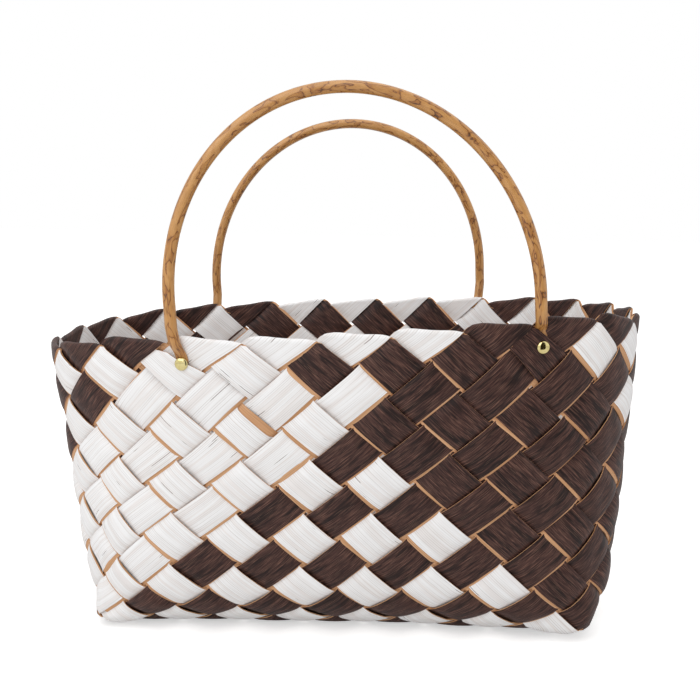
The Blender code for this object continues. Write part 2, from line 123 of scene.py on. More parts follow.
def applyTree(name, source, tree, values):
    # Runs a node tree on a mesh and keeps the result as a plain mesh
    modifier = source.modifiers.new("shape", "NODES")
    modifier.node_group = tree
    for socket in tree.interface.items_tree:
        if socket.item_type == "SOCKET" and socket.in_out == "INPUT" and socket.name in values:
            modifier[socket.identifier] = values[socket.name]
    graph = bpy.context.evaluated_depsgraph_get()
    mesh = bpy.data.meshes.new_from_object(source.evaluated_get(graph))
    bpy.data.objects.remove(source)
    mesh.name = name
    return addObject(name, mesh)


basket = {  # in metres, or in diamonds of the weave where it says so
    "rimLeft": 0.2235, "rimRight": 0.218, "rimDepth": 0.2355, "rimSquareness": 2.9,
    "rimRise": 0.0165,        # how much higher the rim is at its right end than at its middle
    "rimShift": 0.010, "wallHeight": 0.226,
    "bellyShare": 0.42,       # how full the walls are half way down
    "pitch": 0.0459,          # from one point of a diamond of the base to the opposite one
    "longHalf": 4, "deepHalf": 2, "rows": 5.5,  # half the base's length and depth and the walls, in diamonds
    "leftBulge": 0.005, "rightBulge": 0.016,  # how far the base's ends curve out
    "edgeRound": 0.044, "leftRound": 0.068, "rightRound": 0.028,  # round the foot and up the corners
    "pointShare": 0.5, "pointReach": 0.059,  # how much sharper the base's corners are, and over what length
    "baseLift": 0.0017,       # the middle of the base's plies above the floor
    "round": 24,              # folds round the rim
    "middle": (-0.01, 0, 0.13),  # a place well inside, to tell which way is out
    "edgeSoftness": 0.01,     # the smallest distance from the base's edge that counts, in diamonds
}
middles = (5, 11, 17, 23)  # the fold at the middle of the front, right, back and left wall
firstCorner = 1  # the fold above the base's front left corner
baseCorners = (8, 12, 20)  # folds from there to the front right, back right and back left corner


def rimTable(samples=1440):
    # The rim's outline: a rounded rectangle, longer to the left, and the length run along it
    b = basket
    turn = np.linspace(0, 2 * np.pi, samples + 1)
    power = 2 / b["rimSquareness"]
    reach = np.where(turn < np.pi, b["rimRight"], b["rimLeft"])
    sine, cosine = np.sin(turn), np.cos(turn)
    x = reach * np.sign(sine) * np.abs(sine) ** power - (b["rimRight"] - b["rimLeft"]) / 2
    y = -b["rimDepth"] / 2 * np.sign(cosine) * np.abs(cosine) ** power
    run = np.concatenate([[0], np.cumsum(np.hypot(np.diff(x), np.diff(y)))])
    return x, y, run


rimX, rimY, rimRun = rimTable()

# How far the hand-made wall departs from its even shape: x, y, z in mm at four heights from the rim
# down to the floor, for every second fold
handShape = np.array([
    -4.1, -1.8, -3.7, 0.5, -0.4, -1.5, 1.2, 1, 1.7, 3.3, 1.2, 0,
    -5, 0.6, 3.1, 4.2, 0.6, -1.6, -1.4, -0.9, 0.1, 3.6, 3.1, 0,
    2.1, 1, 0, 0.5, 0.9, -1.9, -2, 2.4, -1.9, 1.6, 5.7, 0,
    2.6, 1.5, 0.4, -0.2, -0.9, -0.3, -2.9, 2.1, -1.6, 0.8, 6.3, 0,
    1, 0.3, 2.6, 1.7, -0.9, 0.3, 0.6, 1.6, -0.2, 0.1, -0.6, 1.2,
    -6.4, 1.4, -5.9, -2.5, 1.3, 2.1, 3.3, 0.5, 2.9, 8.8, -2.1, 3.4,
    -6.3, 1.5, -8.1, -1, 0.5, -0.1, 0.9, 0, 0.7, 2.4, -0.5, 0,
    3.7, -0.9, -5.8, 0.2, 0, -0.6, 0, 0, -0.1, 0, 0, 0,
    2.7, -0.5, -1.9, 0.3, -0.1, -0.2, 0, 0, -0.1, -0.2, 0, 0,
    2.2, 0.1, 1, 0.2, 0, 0.1, 0, 0, 0, -0.1, 0, 0,
    0.6, 0.4, 2, 0, 0, 0.2, 0, 0, 0, -0.1, -0.1, 0,
    1.9, 0.3, -0.2, 0, -0.1, -0.2, 0.4, 0.3, 0.4, -0.1, 0.1, 0
]).reshape(12, 4, 3) / 1000


def unevenness(s, v):
    # Goes smoothly from one value of handShape to the next
    total = np.zeros(np.shape(s) + (3,))
    columns, heights = handShape.shape[:2]
    for j in range(columns):
        off = np.minimum(np.abs((s / 2 - j + columns / 2) % columns - columns / 2), 1)
        along = (1 - off) ** 2 * (1 + 2 * off)
        for k in range(heights):
            off = np.minimum(np.abs(v / basket["rows"] * (heights - 1) - k), 1)
            total += (along * (1 - off) ** 2 * (1 + 2 * off))[..., None] * handShape[j, k]
    return total


def baseUnevenness(x, y):
    # Each edge of the base carries its wall's departure inwards
    front, right, back, left = middles
    long, deep = basket["longHalf"], basket["deepHalf"]
    edges = ((deep + y, front + x), (deep - y, back - x), (long - x, right + y), (long + x, left - y))
    weights = [1 / (np.maximum(distance, 0) + basket["edgeSoftness"]) ** 2 for distance, s in edges]
    parts = [weight[..., None] * unevenness(s, np.full(np.shape(s), basket["rows"]))
             for weight, (distance, s) in zip(weights, edges)]
    return sum(parts) / sum(weights)[..., None]


def rimAt(s):
    run = ((s - middles[0]) % basket["round"]) / basket["round"] * rimRun[-1]
    return np.interp(run, rimRun, rimX), np.interp(run, rimRun, rimY)


def baseEdge(s):
    # The place on the base's edge, in squares from its middle, that lies below a place along the rim
    long, deep = basket["longHalf"], basket["deepHalf"]
    front, right, back = baseCorners
    s = (s - firstCorner) % basket["round"]
    x = np.where(s <= front, s - long,
                 np.where(s <= right, long, np.where(s <= back, right + long - s, -long)))
    y = np.where(s <= front, -deep,
                 np.where(s <= right, s - front - deep, np.where(s <= back, deep, back + deep - s)))
    return x, y


def roundOff(distance, radius):
    share = np.maximum(0, (radius - distance) / (2 * radius))
    return radius * share * share


def rounding(x, y, rowsUp, cornerShare):
    # How far the corners and the foot are drawn in from the straight box of walls and base
    b = basket
    toEnd = (b["longHalf"] - np.abs(x)) * b["pitch"]
    toSide = (b["deepHalf"] - np.abs(y)) * b["pitch"]
    toFloor = rowsUp * b["wallHeight"] / b["rows"]
    near = 1 - np.clip((toEnd + toSide + toFloor) / b["pointReach"], 0, 1)
    blunt = 1 - b["pointShare"] * near * near * (3 - 2 * near)
    cornerRound = np.where(x > 0, b["rightRound"], b["leftRound"])
    endSide = roundOff(toEnd + toSide, cornerRound) * cornerShare * blunt
    endFloor = roundOff(toEnd + toFloor, b["edgeRound"]) * blunt
    sideFloor = roundOff(toSide + toFloor, b["edgeRound"]) * blunt
    return (-np.sign(x) * np.hypot(endSide, endFloor), -np.sign(y) * np.hypot(endSide, sideFloor),
            np.hypot(endFloor, sideFloor))


def floorPlace(x, y):
    b = basket
    bulge = np.where(x > 0, b["rightBulge"], b["leftBulge"])
    bulge = bulge * (x / b["longHalf"]) ** 3 * (1 - (y / b["deepHalf"]) ** 2)
    return x * b["pitch"] - b["rimShift"] + bulge, y * b["pitch"]


def wallAt(s, v, uneven=True):
    # A point of the wall: s along the rim in folds, v down it in rows
    b = basket
    down = v / b["rows"]
    blend = down - b["bellyShare"] * down * (1 - down)
    x, y = rimAt(s)
    cellX, cellY = baseEdge(s)
    footX, footY = floorPlace(cellX, cellY)
    tall = b["wallHeight"] + b["rimRise"] * x * 2 / (b["rimLeft"] + b["rimRight"])
    roundX, roundY, roundZ = rounding(cellX, cellY, b["rows"] - v, np.maximum(0, down))
    even = np.stack([x + (footX - x) * blend + roundX, y + (footY - y) * blend + roundY,
                     b["baseLift"] + tall * (1 - down) + roundZ], -1)
    return even + (unevenness(s, v) if uneven else 0)


def baseAt(x, y):
    # A point of the base: x and y from its middle, in diamonds
    flatX, flatY = floorPlace(x, y)
    roundX, roundY, roundZ = rounding(x, y, 0, 1)
    return np.stack([flatX + roundX, flatY + roundY, basket["baseLift"] + roundZ], -1) + baseUnevenness(x, y)


def unit(vectors):
    return vectors / np.maximum(np.linalg.norm(vectors, axis=-1, keepdims=True), 1e-12)


def surfaceFrame(onWall, first, second):
    # Point, outward direction and the direction up the wall at many places
    step = 0.002

    def at(a, b):
        return np.where(onWall[..., None], wallAt(a, b), baseAt(a, b))
    point = at(first, second)
    along = at(first + step, second) - at(first - step, second)
    down = at(first, second + step) - at(first, second - step)
    outward = unit(np.cross(down, along))
    fromMiddle = point - np.array(basket["middle"])
    outward *= np.sign(np.sum(outward * fromMiddle, -1, keepdims=True))
    return point, outward, -unit(down)


weave = {
    # Centre and half width of a strip, in squares: its outer run and its tail, by how it leans. A square is
    # where two strips cross, and stands on its point in a diamond of the weave
    "outer": {"R": (0.005, 0.455), "L": (-0.005, 0.435)},
    "tail": {"R": (-0.0175, 0.4475), "L": (0.0225, 0.4525)},
    "cellSide": 0.0308,       # side of a square, in metres
    "layerStep": 0.00085,     # from one ply to the next
    "puffHeight": 0.0018,     # how far a square swells
    "sideFall": 0.9,          # share of the swelling that is gone at a strip's sides
    "sideDip": 0.35,          # how far the sides sink on to the plies below, in plies
    "underShare": 0.5,        # how deep a square dips where its strip runs under, beside its swelling
    "nick": {("L", 2): (3.0, 0.45, 0.17)}, "nickEase": 0.3,  # a dent: where along it, half length, depth
    "thickness": 0.0007,
    "edgeGap": {"white": 0.04, "brown": 0.02},  # how far the lower edge stands back, in squares
    "edgeWobble": 0.8,        # how much of that gap comes and goes along the strip
    "tailSlip": 0.02,         # how far a tail slips past the strip in front of it, in squares
    "wander": 0.012,          # how far a whole strip drifts sideways, in squares
    "waverRate": 0.55, "driftRate": 0.4,  # how often the edge wavers and the strip drifts, in a crossing
    "noiseSpread": 4.0,       # spreads a noise round 0 to about -1 to 1
    "baseShare": 0.3,         # share of the edge gap that is left on the base
    "turnReach": 0.4,         # from a fold to where the strip has its full outer or tail width, in crossings
    "foldRows": 0.055,        # rows of the wall that a fold over the rim takes
    "rimDrop": 0.035,         # how far below the rim the folds turn, in rows, for the plies on top of them
    "foldPuff": 0.3,          # share of the swelling that a fold keeps
    "foldTilt": 0.065, "tiltRows": 0.7,  # how far a fold's ends rise and sink, and how far down, in rows
    "pinch": {("R", 3): 0.13}, "pinchReach": 3.2,  # how much narrower a strip is beside its first fold
    "tailReach": 10.3,        # how far the tails run down inside, in crossings
    "spareCells": 12,         # crossings looked at before the first fold and past the last one
    "alongSteps": 11, "acrossSteps": 10, "crowding": 1.25,  # the rows and columns of a square's faces
}
# Each strip starts at a fold of the rim: R leans like /, L like \, seen from outside
strips = {
    "white_strip_01": ("L", 2), "white_strip_02": ("R", 3), "white_strip_03": ("L", 14),
    "white_strip_04": ("R", 15), "white_strip_05": ("R", 5), "white_strip_06": ("R", 6),
    "white_strip_07": ("R", 17), "white_strip_08": ("R", 18), "white_strip_09": ("L", 8),
    "white_strip_10": ("L", 9), "white_strip_11": ("L", 10), "white_strip_12": ("L", 11),
    "brown_strip_01": ("L", 7), "brown_strip_02": ("R", 8), "brown_strip_03": ("L", 19),
    "brown_strip_04": ("R", 20), "brown_strip_05": ("R", 0), "brown_strip_06": ("R", 1),
    "brown_strip_07": ("R", 2), "brown_strip_08": ("R", 9), "brown_strip_09": ("R", 10),
    "brown_strip_10": ("R", 14), "brown_strip_11": ("R", 21), "brown_strip_12": ("R", 22),
}
seatFolds = (2, 7, 14, 19)  # here the L strip ends in a cut tongue over a handle's foot
# A tongue starts where it leaves the neighbouring fold; by its fold: where its corner is cut off, how deep,
# how round, and how much narrower it gets at its upper and at its lower edge. Lengths are in crossings
tongue = {"start": 0.46, "fray": 0.008, "frayReach": 0.06, "puffShare": 0.6, "cutReach": 1.0,
          "narrowReach": 1.3, "leanReach": 2.2, "heldBefore": 0.1, "heldReach": 0.5, "gap": 0.12,
          "ends": {2: (0.54, 0.23, 1, 0.14, 0.1), 7: (0.7, 0.09, 2, 0.03, 0.11),
                   14: (0.68, 0.12, 1.5, 0.05, 0.04), 19: (0.66, 0.1, 2, 0.05, 0.04)}}
swelling = rng.uniform(0.8, 1.15, (48, 24))  # one amount for all the plies of a crossing


def settle(side, s, v):
    # Where places along a run lie: on the near wall, on the base or on the far wall
    b = basket
    run = v - b["rows"]
    if side == 0:
        x, y = s - middles[0], run - b["deepHalf"]
    elif side == 1:
        x, y = b["longHalf"] - run, s - middles[1]
    elif side == 2:
        x, y = middles[2] - s, b["deepHalf"] - run
    else:
        x, y = run - b["longHalf"], middles[3] - s
    pastEnd = np.abs(x) - b["longHalf"]
    pastSide = np.abs(y) - b["deepHalf"]
    past = np.maximum(pastEnd, pastSide)
    nearWall = v <= b["rows"]
    farWall = ~nearWall & (past > 0)
    endS = np.where(x > 0, middles[1] + y, middles[3] - y)
    sideS = np.where(y > 0, middles[2] - x, middles[0] + x)
    farS = np.where(pastEnd > pastSide, endS, sideS)
    first = np.where(nearWall, s, np.where(farWall, farS, x))
    second = np.where(nearWall, v, np.where(farWall, b["rows"] - past, y))
    return nearWall | farWall, first, second


def runOf(family, fold):
    # The side where a run meets the base, and how many crossings it has up to the far rim
    lean = -1 if family == "R" else 1
    s = (fold + lean * basket["rows"] - firstCorner) % basket["round"]
    side = sum(s >= corner for corner in baseCorners)
    shift = round((fold + lean * basket["rows"] - middles[side]) / basket["round"]) * basket["round"]
    count = 12  # no run is shorter
    while True:
        onWall, far, rowsDown = settle(side, np.array(fold - shift + lean * count / 2), np.array(count / 2))
        if onWall and rowsDown < 1e-6:
            return lean, side, fold - shift, count
        count += 1


def crossingAmounts(side, lean, foldS, counts):
    # How much each crossing of a run swells, and whether it lies under a handle's foot
    amounts, seats = [], []
    for k in counts:
        onWall, first, second = settle(side, np.array(foldS + lean * k / 2), np.array(k / 2))
        s, v = float(first) % basket["round"], abs(float(second))
        seat = bool(onWall) and abs(v - 0.5) < 1e-6 and any(abs(s - f - 0.5) < 1e-6 for f in seatFolds)
        place = int(round(2 * s)) % swelling.shape[0], int(round(2 * v)) % swelling.shape[1]
        amounts.append(tongue["puffShare"] if seat else swelling[place])
        seats.append(seat)
    return np.array(amounts), np.array(seats)


def smooth(x):
    x = np.clip(x, 0, 1)
    return x * x * (3 - 2 * x)


def rowPlaces(end):
    # Rows along a strip, closer together beside its folds
    steps, spare = weave["alongSteps"], weave["spareCells"]
    near = [0, 0.03, 0.06, 0.09, 0.12, 0.17, 0.24]
    rest = list(np.linspace(0, 1, steps + 1)[3:])  # the near ones stand for the first three
    places = []
    for cell in range(-spare, end + spare):
        if cell in (0, end):
            places += [cell + p for p in near + rest]
        elif cell in (-1, end - 1):
            places += [cell + 1 - p for p in reversed(near + rest)]
        else:
            places += [cell + k / steps for k in range(steps)]
    return np.unique(np.round(np.array(places), 6))


def widthPlaces(family, fold, count, endOver, tauGrid, u):
    # Where each column lies across the strip: the tail's width, the outer run's and the other tail's, then
    # the marks that only this strip has
    w = weave
    endFamily = "R" if endOver else "L"
    widths = [np.array(pair) for pair in (w["tail"][family], w["outer"][family], w["outer"][endFamily],
                                          w["tail"][endFamily])]
    widths[2], widths[3] = widths[2] * (-1, 1), widths[3] * (-1, 1)  # seen from the other way
    turnReach, wallCells = w["turnReach"], 2 * basket["rows"]
    changes = [(tauGrid + turnReach) / (2 * turnReach), (tauGrid - wallCells) / (count - 2 * wallCells),
               (tauGrid - count + turnReach) / (2 * turnReach)]
    centreShift, half = (sum([(high[k] - low[k]) * smooth(change) for change, low, high
                              in zip(changes, widths, widths[1:])], widths[0][k]) for k in (0, 1))
    a = centreShift + half * u
    pinch = w["pinch"].get((family, fold), 0)
    a = a + pinch * (1 - u) / 2 * (1 - smooth(np.abs(tauGrid) / w["pinchReach"]))
    place, reach, cut = w["nick"].get((family, fold), (0, 1, 0))
    return a - cut * (u + 1) / 2 * (1 - smooth((np.abs(tauGrid - place) - reach) / w["nickEase"]))


def trimTongue(fold, fromEnd, u, t, a):
    # Cuts a corner off a tongue's end, frays the end and narrows the tongue towards it
    corner, depth, roundness, narrower, leaner = tongue["ends"][fold]
    cutBack = depth * np.clip((u - corner) / (1 - corner), 0, 1) ** roundness
    ragged = rng.uniform(-1, 1, u.shape[1]) * tongue["fray"]
    t = t + cutBack * (1 - smooth(fromEnd / tongue["cutReach"]))
    t = t + ragged * (1 - smooth(fromEnd / tongue["frayReach"]))
    a = a - narrower * (u + 1) / 2 * (1 - smooth(fromEnd / tongue["narrowReach"]))
    a = a + leaner * (1 - u) / 2 * (1 - smooth(fromEnd / tongue["leanReach"]))
    return t, a


def overAndUnder(family, run, first, isTongue, t, a, isTail):
    # How far out each point lies, in plies, 1.5 out when over and 0.5 in when under, and how much it swells
    w = weave
    lean, side, foldS, count = run
    crossing = np.round(t).astype(int)
    if isTongue:
        crossing = np.maximum(crossing, 1)
    x = t - crossing
    spare = w["spareCells"] + 1
    index = crossing + spare
    counts = np.arange(-spare, count + spare + 1)
    amounts, seats = crossingAmounts(side, lean, foldS, counts)
    signs = np.where((np.abs(counts) % 2 == 0) == (family == "R"), 1, -1)
    tailCrossing = (counts < 0) | (counts > count)
    deeper = np.where(seats & tailCrossing & (signs > 0), 1, 0)  # the inner tail makes room
    signs = np.where(seats & tailCrossing, 1, signs)  # both tails pass behind the foot
    sign, amount = signs[index], amounts[index]
    rise = 1 - np.abs(2 * x) ** 4
    toFold = np.minimum(np.abs(t), np.abs(t - count)) * 2
    atFold = 1 - smooth(toFold)
    sideways = 1 - w["sideFall"] * np.abs(2 * a) ** 4 * (1 - atFold)
    swell = rise * sideways * (1 - atFold * (1 - w["foldPuff"]))
    if isTongue:
        held = smooth((t - first + tongue["heldBefore"]) / tongue["heldReach"])
        rise = np.where(t < 1, 0.5 + 0.5 * held, rise)
        swell = np.where(t < 1, sideways * held, swell)
    level = 0.5 + (sign + deeper[index]) * rise
    level = level - sign * w["sideDip"] * np.abs(2 * a) ** 6 * rise * (1 - atFold)
    outside = sign * np.where(isTail > 0, -1, 1)
    return level, sign * swell * amount * np.where(outside > 0, 1, w["underShare"])


def stripRun(family, fold, first, last, isTongue):
    # One unbroken length of a strip from place to place along it, as rows across its width
    w = weave
    run = runOf(family, fold)
    lean, side, foldS, count = run
    startSign = 1 if family == "R" else -1
    endOver = (count % 2 == 0) == (family == "R")
    endSign = 1 if endOver else -1
    tau = rowPlaces(count)
    tau = np.concatenate([[first], tau[(tau > first + 0.02) & (tau < last - 0.02)], [last]])
    across = np.sin(np.linspace(-1, 1, w["acrossSteps"] + 1) * w["crowding"]) / math.sin(w["crowding"])
    tauGrid, u = np.meshgrid(tau, across, indexing="ij")
    a = widthPlaces(family, fold, count, endOver, tauGrid, u)
    startShear = 0 if isTongue else 1 - smooth(np.abs(tauGrid))
    endShear = 1 - smooth(np.abs(count - tauGrid))
    t = tauGrid - startSign * a * startShear - endSign * a * endShear
    if isTongue:
        t, a = trimTongue(fold, tauGrid - first, u, t, a)
    # From the strip's own places to the wall's: s along the rim and v down the wall
    s = foldS + (lean * t + a) / 2
    v = (t + startSign * a) / 2
    onWall, one, two = settle(side, s, v)
    isTail = np.where((two < 0) & onWall, 1.0, 0.0)
    nearStart = tauGrid < count / 2
    depth = np.abs(two)
    foldRows = w["foldRows"]
    eased = np.maximum(0, (depth - foldRows) / (1 - foldRows))
    eased = np.where(depth < 1, w["rimDrop"] + (1 - w["rimDrop"]) * eased, depth)
    # Seen from outside, a fold lies higher at its left end
    fromMiddle = np.where(nearStart, a, -a)
    eased = eased + w["foldTilt"] * 2 * fromMiddle * (1 - smooth(depth / w["tiltRows"]))
    point, outward, up = surfaceFrame(onWall, one, np.where(onWall, eased, two))
    turn = np.where(onWall, np.clip(two / foldRows, -1, 1), 1) * math.pi / 2
    foldSign = np.where(nearStart, startSign, endSign)
    facing = np.sin(turn)[..., None] * outward + (foldSign * np.cos(turn))[..., None] * up
    level, puff = overAndUnder(family, run, first, isTongue, t, a, isTail)
    # Under the basket nothing swells through the floor
    room = np.clip((point[..., 2] - basket["baseLift"]) / (w["puffHeight"] * 1.2), 0, 1)
    puff = np.where((puff > 0) & (facing[..., 2] < -0.05), puff * room, puff)
    # The lower edge of each run stands back a little and shows the tan tails behind
    low = np.where(nearStart, startSign, -endSign)
    lowShare = -low * (u * low + 1) / 2 * (1 - isTail)
    ease = smooth(np.minimum(np.abs(tauGrid), np.abs(tauGrid - count)) / (2 * w["turnReach"]))
    sideways = np.gradient(point, axis=1) / np.gradient(a, axis=1)[..., None]
    centre = point[:, point.shape[1] // 2]
    length = np.concatenate([[0], np.cumsum(np.linalg.norm(np.diff(centre, axis=0), axis=1))])
    return {"point": point, "facing": facing, "sideways": sideways, "level": level, "puff": puff,
            "lowShare": lowShare * np.where(onWall, 1, w["baseShare"]) * ease,
            "tailShare": -low * isTail * ease, "along": t,
            "length": np.broadcast_to(length[:, None], t.shape), "width": a * w["cellSide"]}


def ribbonFaces(rowCount, columnCount):
    # Quads over the front, the back and the four edges of a ribbon with two layers of points
    total = rowCount * columnCount
    index = np.arange(total).reshape(rowCount, columnCount)
    near, ahead, back = index[:-1], index[1:], index + total
    corners = [(near[:, :-1], ahead[:, :-1], ahead[:, 1:], near[:, 1:]),
               (back[:-1, 1:], back[1:, 1:], back[1:, :-1], back[:-1, :-1]),
               (index[:-1, 0], back[:-1, 0], back[1:, 0], index[1:, 0]),
               (index[:-1, -1], index[1:, -1], back[1:, -1], back[:-1, -1]),
               (index[0, :-1], index[0, 1:], back[0, 1:], back[0, :-1]),
               (index[-1, :-1], back[-1, :-1], back[-1, 1:], index[-1, 1:])]
    return np.concatenate([np.stack([c.ravel() for c in four], 1) for four in corners])


# What the node tree reads at each point of a strip
plaitData = {"FLOAT_VECTOR": ("facing", "sideways"),
             "FLOAT": ("level", "puff", "lowShare", "tailShare", "along", "skin")}


def stripMesh(name, family, fold):
    # A strip as a thin closed ribbon, or two where its tongue is cut off, with what the node tree needs
    reach = weave["tailReach"]
    count = runOf(family, fold)[3]
    last = count + reach + rng.uniform(-0.2, 0.2)
    first = -reach + rng.uniform(-0.2, 0.2)
    if family == "L" and fold in seatFolds:
        runs = [stripRun(family, fold, tongue["start"], last, True),
                stripRun(family, fold, first, -tongue["gap"], False)]
    else:
        runs = [stripRun(family, fold, first, last, False)]
    faces, columns, start = [], {}, 0
    for run in runs:
        rows, across = run["along"].shape
        faces.append(ribbonFaces(rows, across) + start)
        start += 2 * rows * across
        run["skin"] = np.full(rows * across, 0.5)
        for key, values in run.items():
            flat = values.reshape(rows * across, -1)
            columns.setdefault(key, []).append(flat)
            columns[key].append(-flat if key == "skin" else flat)
    columns = {key: np.concatenate(parts) for key, parts in columns.items()}
    mesh = bpy.data.meshes.new(name)
    mesh.from_pydata(columns["point"].tolist(), [], np.concatenate(faces).tolist())
    for kind, keys in plaitData.items():
        for key in keys:
            addAttribute(mesh, key, kind, columns[key])
    addAttribute(mesh, "tone", "FLOAT", np.full(start, rng.uniform(0, 1)))
    uv = mesh.uv_layers.new(name="UVMap")
    loops = np.zeros(len(mesh.loops), dtype=np.int32)
    mesh.loops.foreach_get("vertex_index", loops)
    places = np.concatenate([columns["length"], columns["width"]], 1)
    uv.data.foreach_set("uv", places[loops].astype(np.float32).ravel())
    return mesh


def plaitTree(filmMaterial, backMaterial):
    # Moves a strip's flat rows over and under, swells its squares, shifts its edges and the whole strip
    # sideways and gives it two skins
    tree = bpy.data.node_groups.new("plait", "GeometryNodeTree")
    tree.interface.new_socket("Strip", in_out="INPUT", socket_type="NodeSocketGeometry")
    for name in ("Layer Step", "Puff Height", "Thickness", "Edge Gap", "Edge Wobble", "Tail Slip", "Wander",
                 "Seed"):
        tree.interface.new_socket(name, in_out="INPUT", socket_type="NodeSocketFloat")
    tree.interface.new_socket("Strip", in_out="OUTPUT", socket_type="NodeSocketGeometry")
    made = {socket.name: socket for socket in addNode(tree, "NodeGroupInput").outputs}
    addNodes(tree, made, [(key, "read", {0: key}) for key in plaitData["FLOAT"]])
    addNodes(tree, made, (
        # Out of the wall: the level of the ply, its swelling and half its thickness
        ("plyHeight", "multiply", {0: "level", 1: "Layer Step"}),
        ("puffHeight", "multiply", {0: "puff", 1: "Puff Height"}),
        ("skinHeight", "multiply", {0: "skin", 1: "Thickness"}),
        ("height", "add", {0: "plyHeight", 1: "puffHeight"}),
        ("height", "add", {0: "height", 1: "skinHeight"}),
        # Sideways: the lower edge and the tail's edge waver, and the whole strip drifts
        ("waverRun", "multiply", {0: "along", 1: weave["waverRate"]}),
        ("waverPlace", "place", {0: "waverRun", 1: "Seed"}),
        ("waver", "noise", {"Vector": "waverPlace", "Scale": 1.0, "Detail": 0.0}),
        ("waver", "subtract", {0: "waver", 1: 0.5}),
        ("waver", "multiply", {0: "waver", 1: weave["noiseSpread"]}),
        ("waver", "multiply", {0: "waver", 1: "Edge Wobble"}),
        ("waver", "add", {0: "waver", 1: 1.0}),
        ("waver", "maximum", {0: "waver", 1: 0.0}),
        ("edgeShift", "multiply", {0: "lowShare", 1: "Edge Gap"}),
        ("edgeShift", "multiply", {0: "edgeShift", 1: "waver"}),
        ("tailShift", "multiply", {0: "tailShare", 1: "Tail Slip"}),
        ("tailShift", "multiply", {0: "tailShift", 1: "waver"}),
        ("shift", "add", {0: "edgeShift", 1: "tailShift"}),
        ("driftRun", "multiply", {0: "along", 1: weave["driftRate"]}),
        ("driftPlace", "place", {0: "driftRun", 1: "Seed", 2: 5.0}),
        ("drift", "noise", {"Vector": "driftPlace", "Scale": 1.0, "Detail": 0.0}),
        ("drift", "subtract", {0: "drift", 1: 0.5}),
        ("drift", "multiply", {0: "drift", 1: weave["noiseSpread"]}),
        ("drift", "multiply", {0: "drift", 1: "Wander"}),
        ("shift", "add", {0: "shift", 1: "drift"}),
        # Both moves at once, then a skin for the film and one for the tan back
        ("facing", "readWay", {0: "facing"}),
        ("sideways", "readWay", {0: "sideways"}),
        ("outMove", "lengthen", {0: "facing", "Scale": "height"}),
        ("sideMove", "lengthen", {0: "sideways", "Scale": "shift"}),
        ("offset", "join", {0: "outMove", 1: "sideMove"}),
        ("moved", "move", {"Geometry": "Strip", "Offset": "offset"}),
        ("single", "realize", {"Geometry": "moved"}),
        ("film", "finish", {"Geometry": "single", "Material": filmMaterial}),
        ("isBack", "below", {0: "skin", 1: 0.4}),
        ("both", "finish", {"Geometry": "film", "Selection": "isBack", "Material": backMaterial})))
    ending = addNode(tree, "NodeGroupOutput", None, {"Strip": made["both"]})
    ending.is_active_output = True
    return tree


veneer = {  # what the three veneers share
    "toneSpread": 37.0,        # how far apart the patterns of two strips lie
    "driftLength": 9, "driftsPerMetre": 60.0,  # how the hairlines sway
    "patchSoftness": 0.13, "splitSoftness": 0.03, "splitWidth": (0.2, 0.06),
    "lineSeed": 7.31, "splitSeed": 3.17, "reliefDepth": 0.0002,
}


